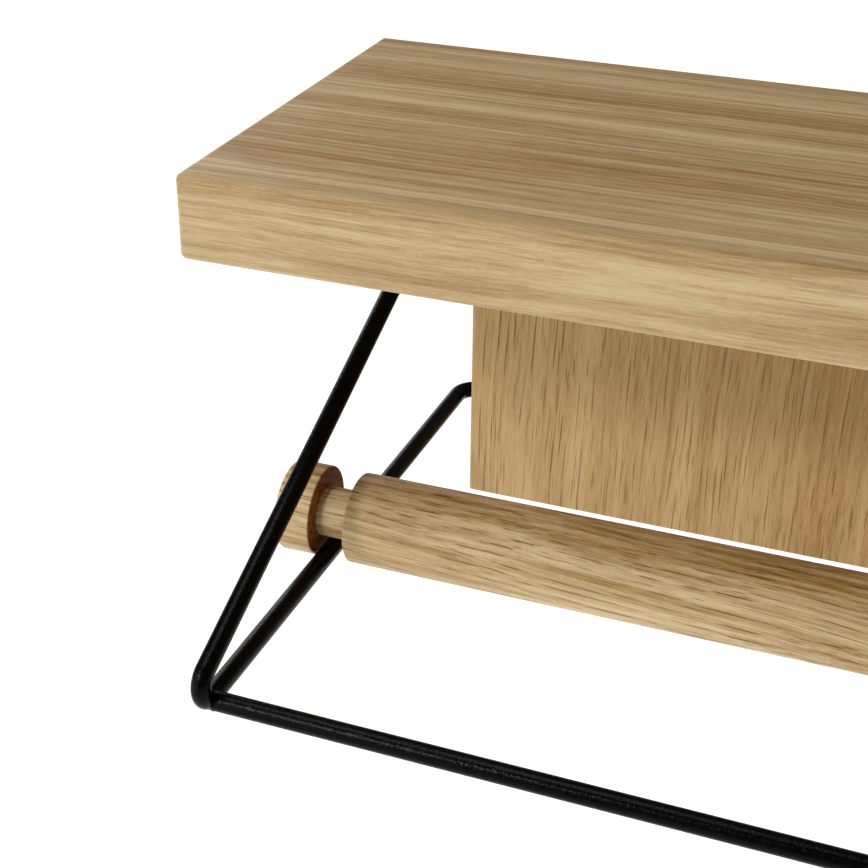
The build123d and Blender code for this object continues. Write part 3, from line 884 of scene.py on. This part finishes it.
def screw_tree():
    """Sets a countersunk screw on every spot, with its head towards +Y."""
    tree = bpy.data.node_groups.new("countersunk_screws", "GeometryNodeTree")
    tree.interface.new_socket("Spots", in_out="INPUT", socket_type="NodeSocketGeometry")
    for name in ("Length", "Shank Radius", "Head Radius", "Head Height", "Point Length", "Pitch",
                 "Thread Depth", "Recess Arm", "Recess Width", "Recess Depth"):
        tree.interface.new_socket(name, in_out="INPUT", socket_type="NodeSocketFloat")
    tree.interface.new_socket("Material", in_out="INPUT", socket_type="NodeSocketMaterial")
    tree.interface.new_socket("Screws", in_out="OUTPUT", socket_type="NodeSocketGeometry")
    given = add(tree, "NodeGroupInput").outputs

    # how deep each grid point lies below the head, and its turn round the screw
    grid = add(tree, "GeometryNodeMeshGrid", {
        "Size X": 1.0, "Size Y": 1.0, "Vertices X": SCREW_ROWS, "Vertices Y": SCREW_COLUMNS}).outputs[0]
    spot = add(tree, "GeometryNodeInputPosition").outputs[0]
    spot = add(tree, "ShaderNodeVectorMath", {0: spot, 1: (0.5, 0.5, 0.0)}, operation="ADD").outputs[0]
    spot = add(tree, "ShaderNodeSeparateXYZ", {0: spot}).outputs
    deep = add(tree, "ShaderNodeMath", {0: spot["X"], 1: given["Length"]}, operation="MULTIPLY").outputs[0]
    angle = add(tree, "ShaderNodeMath", {0: spot["Y"], 1: 2 * math.pi}, operation="MULTIPLY").outputs[0]

    # radius: thread or head, whichever is wider, then the taper of the point
    climb = add(tree, "ShaderNodeMath", {0: deep, 1: given["Pitch"]}, operation="DIVIDE").outputs[0]
    climb = add(tree, "ShaderNodeMath", {0: climb, 1: spot["Y"]}, operation="SUBTRACT").outputs[0]
    groove = add(tree, "ShaderNodeMath", {0: climb, 1: 0.5}, operation="PINGPONG").outputs[0]
    groove = add(tree, "ShaderNodeMath", {0: groove, 1: -2.0}, operation="MULTIPLY").outputs[0]
    thread = add(tree, "ShaderNodeMath", {0: groove, 1: given["Thread Depth"], 2: given["Shank Radius"]},
                 operation="MULTIPLY_ADD").outputs[0]
    head = add(tree, "ShaderNodeMapRange", {
        "Value": deep, "From Max": given["Head Height"], "To Min": given["Head Radius"],
        "To Max": 0.0}).outputs[0]
    radius = add(tree, "ShaderNodeMath", {0: thread, 1: head}, operation="MAXIMUM").outputs[0]
    tip = add(tree, "ShaderNodeMath", {0: given["Length"], 1: given["Point Length"]},
              operation="SUBTRACT").outputs[0]
    taper = add(tree, "ShaderNodeMapRange", {
        "Value": deep, "From Min": tip, "From Max": given["Length"],
        "To Min": 1.0, "To Max": 0.0}).outputs[0]
    radius = add(tree, "ShaderNodeMath", {0: radius, 1: taper}, operation="MULTIPLY").outputs[0]

    # the first row shrinks to a point, which closes the head's flat face
    inside = add(tree, "ShaderNodeMath", {0: spot["X"], 1: 0.001}, operation="GREATER_THAN").outputs[0]
    radius = add(tree, "ShaderNodeMath", {0: radius, 1: inside}, operation="MULTIPLY").outputs[0]
    cosine = add(tree, "ShaderNodeMath", {0: angle}, operation="COSINE").outputs[0]
    sine = add(tree, "ShaderNodeMath", {0: angle}, operation="SINE").outputs[0]
    x = add(tree, "ShaderNodeMath", {0: radius, 1: cosine}, operation="MULTIPLY").outputs[0]
    y = add(tree, "ShaderNodeMath", {0: deep, 1: -1.0}, operation="MULTIPLY").outputs[0]
    z = add(tree, "ShaderNodeMath", {0: radius, 1: sine}, operation="MULTIPLY").outputs[0]
    place = add(tree, "ShaderNodeCombineXYZ", {0: x, 1: y, 2: z}).outputs[0]
    screw = add(tree, "GeometryNodeSetPosition", {"Geometry": grid, "Position": place}).outputs[0]
    screw = add(tree, "GeometryNodeMergeByDistance", {"Geometry": screw, "Distance": 0.005 * MM}).outputs[0]

    # the recess, two crossed bars through the head's face
    height = add(tree, "ShaderNodeMath", {0: given["Recess Depth"], 1: 2.0},
                 operation="MULTIPLY").outputs[0]
    lying = add(tree, "ShaderNodeCombineXYZ", {
        0: given["Recess Arm"], 1: height, 2: given["Recess Width"]}).outputs[0]
    upright = add(tree, "ShaderNodeCombineXYZ", {
        0: given["Recess Width"], 1: height, 2: given["Recess Arm"]}).outputs[0]
    bars = [add(tree, "GeometryNodeMeshCube", {"Size": size}).outputs[0] for size in (lying, upright)]
    cut = add(tree, "GeometryNodeMeshBoolean", {
        "Mesh 1": screw, "Mesh 2": bars[0], "Self Intersection": True},
        operation="DIFFERENCE", solver="EXACT")
    tree.links.new(bars[1], cut.inputs["Mesh 2"])

    screws = add(tree, "GeometryNodeInstanceOnPoints", {
        "Points": given["Spots"], "Instance": cut.outputs["Mesh"]}).outputs[0]
    screws = add(tree, "GeometryNodeRealizeInstances", {"Geometry": screws}).outputs[0]
    screws = add(tree, "GeometryNodeSetMaterial", {
        "Geometry": screws, "Material": given["Material"]}).outputs[0]
    add(tree, "NodeGroupOutput", {"Screws": screws})
    return tree


countersunk = screw_tree()
print("tree", countersunk.name, "has", len(countersunk.nodes), "nodes")

# %% [markdown]
# ## Screws of the hanger and saddle plates
# Each plate has its two screws on its middle line, and their heads lie a hair below its face, so that
# nothing stands off the wall. The sizes are those of a 3 mm wood screw.

# %% Screws of the hanger and saddle plates
SCREW_SINK = 0.08 * MM
SCREW = {"Length": 12.9, "Shank Radius": 1.5, "Head Radius": 2.8, "Head Height": 2.9, "Point Length": 2.5,
         "Pitch": 1.2, "Thread Depth": 0.42, "Recess Arm": 2.7, "Recess Width": 0.7,
         "Recess Depth": 1.0}       # mm


def make_screws(name, plates, heights):
    """Screws in plates, each at a height above its plate's lower end in mm."""
    spots = []
    for plate in plates:
        low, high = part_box(plate)
        middle, face = (low[0] + high[0]) / 2, high[1] - SCREW_SINK
        spots += [(middle, face, low[2] + rise * MM) for rise in heights]
    mesh = bpy.data.meshes.new(name)
    mesh.from_pydata(spots, [], [])
    sizes = {key: value * MM for key, value in SCREW.items()}
    screws = grow(link_mesh(name, mesh), countersunk, Material=zinc, **sizes)
    mesh = face_outwards(screws).data
    mesh.shade_smooth()
    mesh.set_sharp_from_angle(angle=math.radians(35))
    return screws


place_piece(make_screws("hanger_screws", ("hanger_plate_left", "hanger_plate_right"), (6.0, 16.0)),
            SHELF_BODY, "zinc_plated_steel", "hanger_plate_screws")
place_piece(make_screws("saddle_screws", ("bar_saddle_left", "bar_saddle_right"), (6.0, 30.0)),
            SHELF_BODY, "zinc_plated_steel", "bar_saddle_screws")
